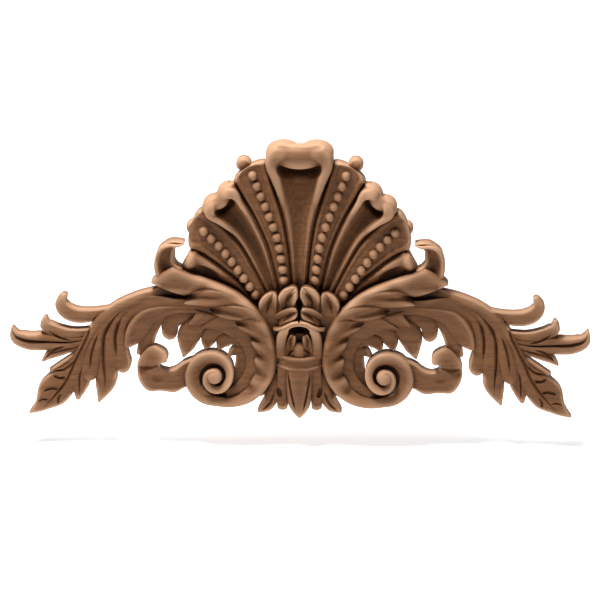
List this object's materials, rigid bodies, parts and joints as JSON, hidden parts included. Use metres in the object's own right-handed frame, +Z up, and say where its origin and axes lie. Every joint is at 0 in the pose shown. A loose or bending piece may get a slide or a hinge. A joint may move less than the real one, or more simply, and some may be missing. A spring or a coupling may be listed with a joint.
{
  "type": "carved crest ornament",
  "caption": "Carved wood crest ornament: a fluted, beaded shell between mirrored acanthus scrolls and leaf wings, with a flat back for fixing.",
  "frame": {"origin": "centre of the flat back face, behind the tie of the leaf bundle", "axes": "+X to the right along the width as seen from the front, +Y into the surface that the back is fixed to, +Z up"},
  "size_m": [0.4002, 0.024, 0.1962],
  "materials": {
    "carved_wood": "unpainted, sanded, open-pored"
  },
  "bodies": {
    "root": {"carved_ornament": "carved_wood"}
  },
  "joints": []
}
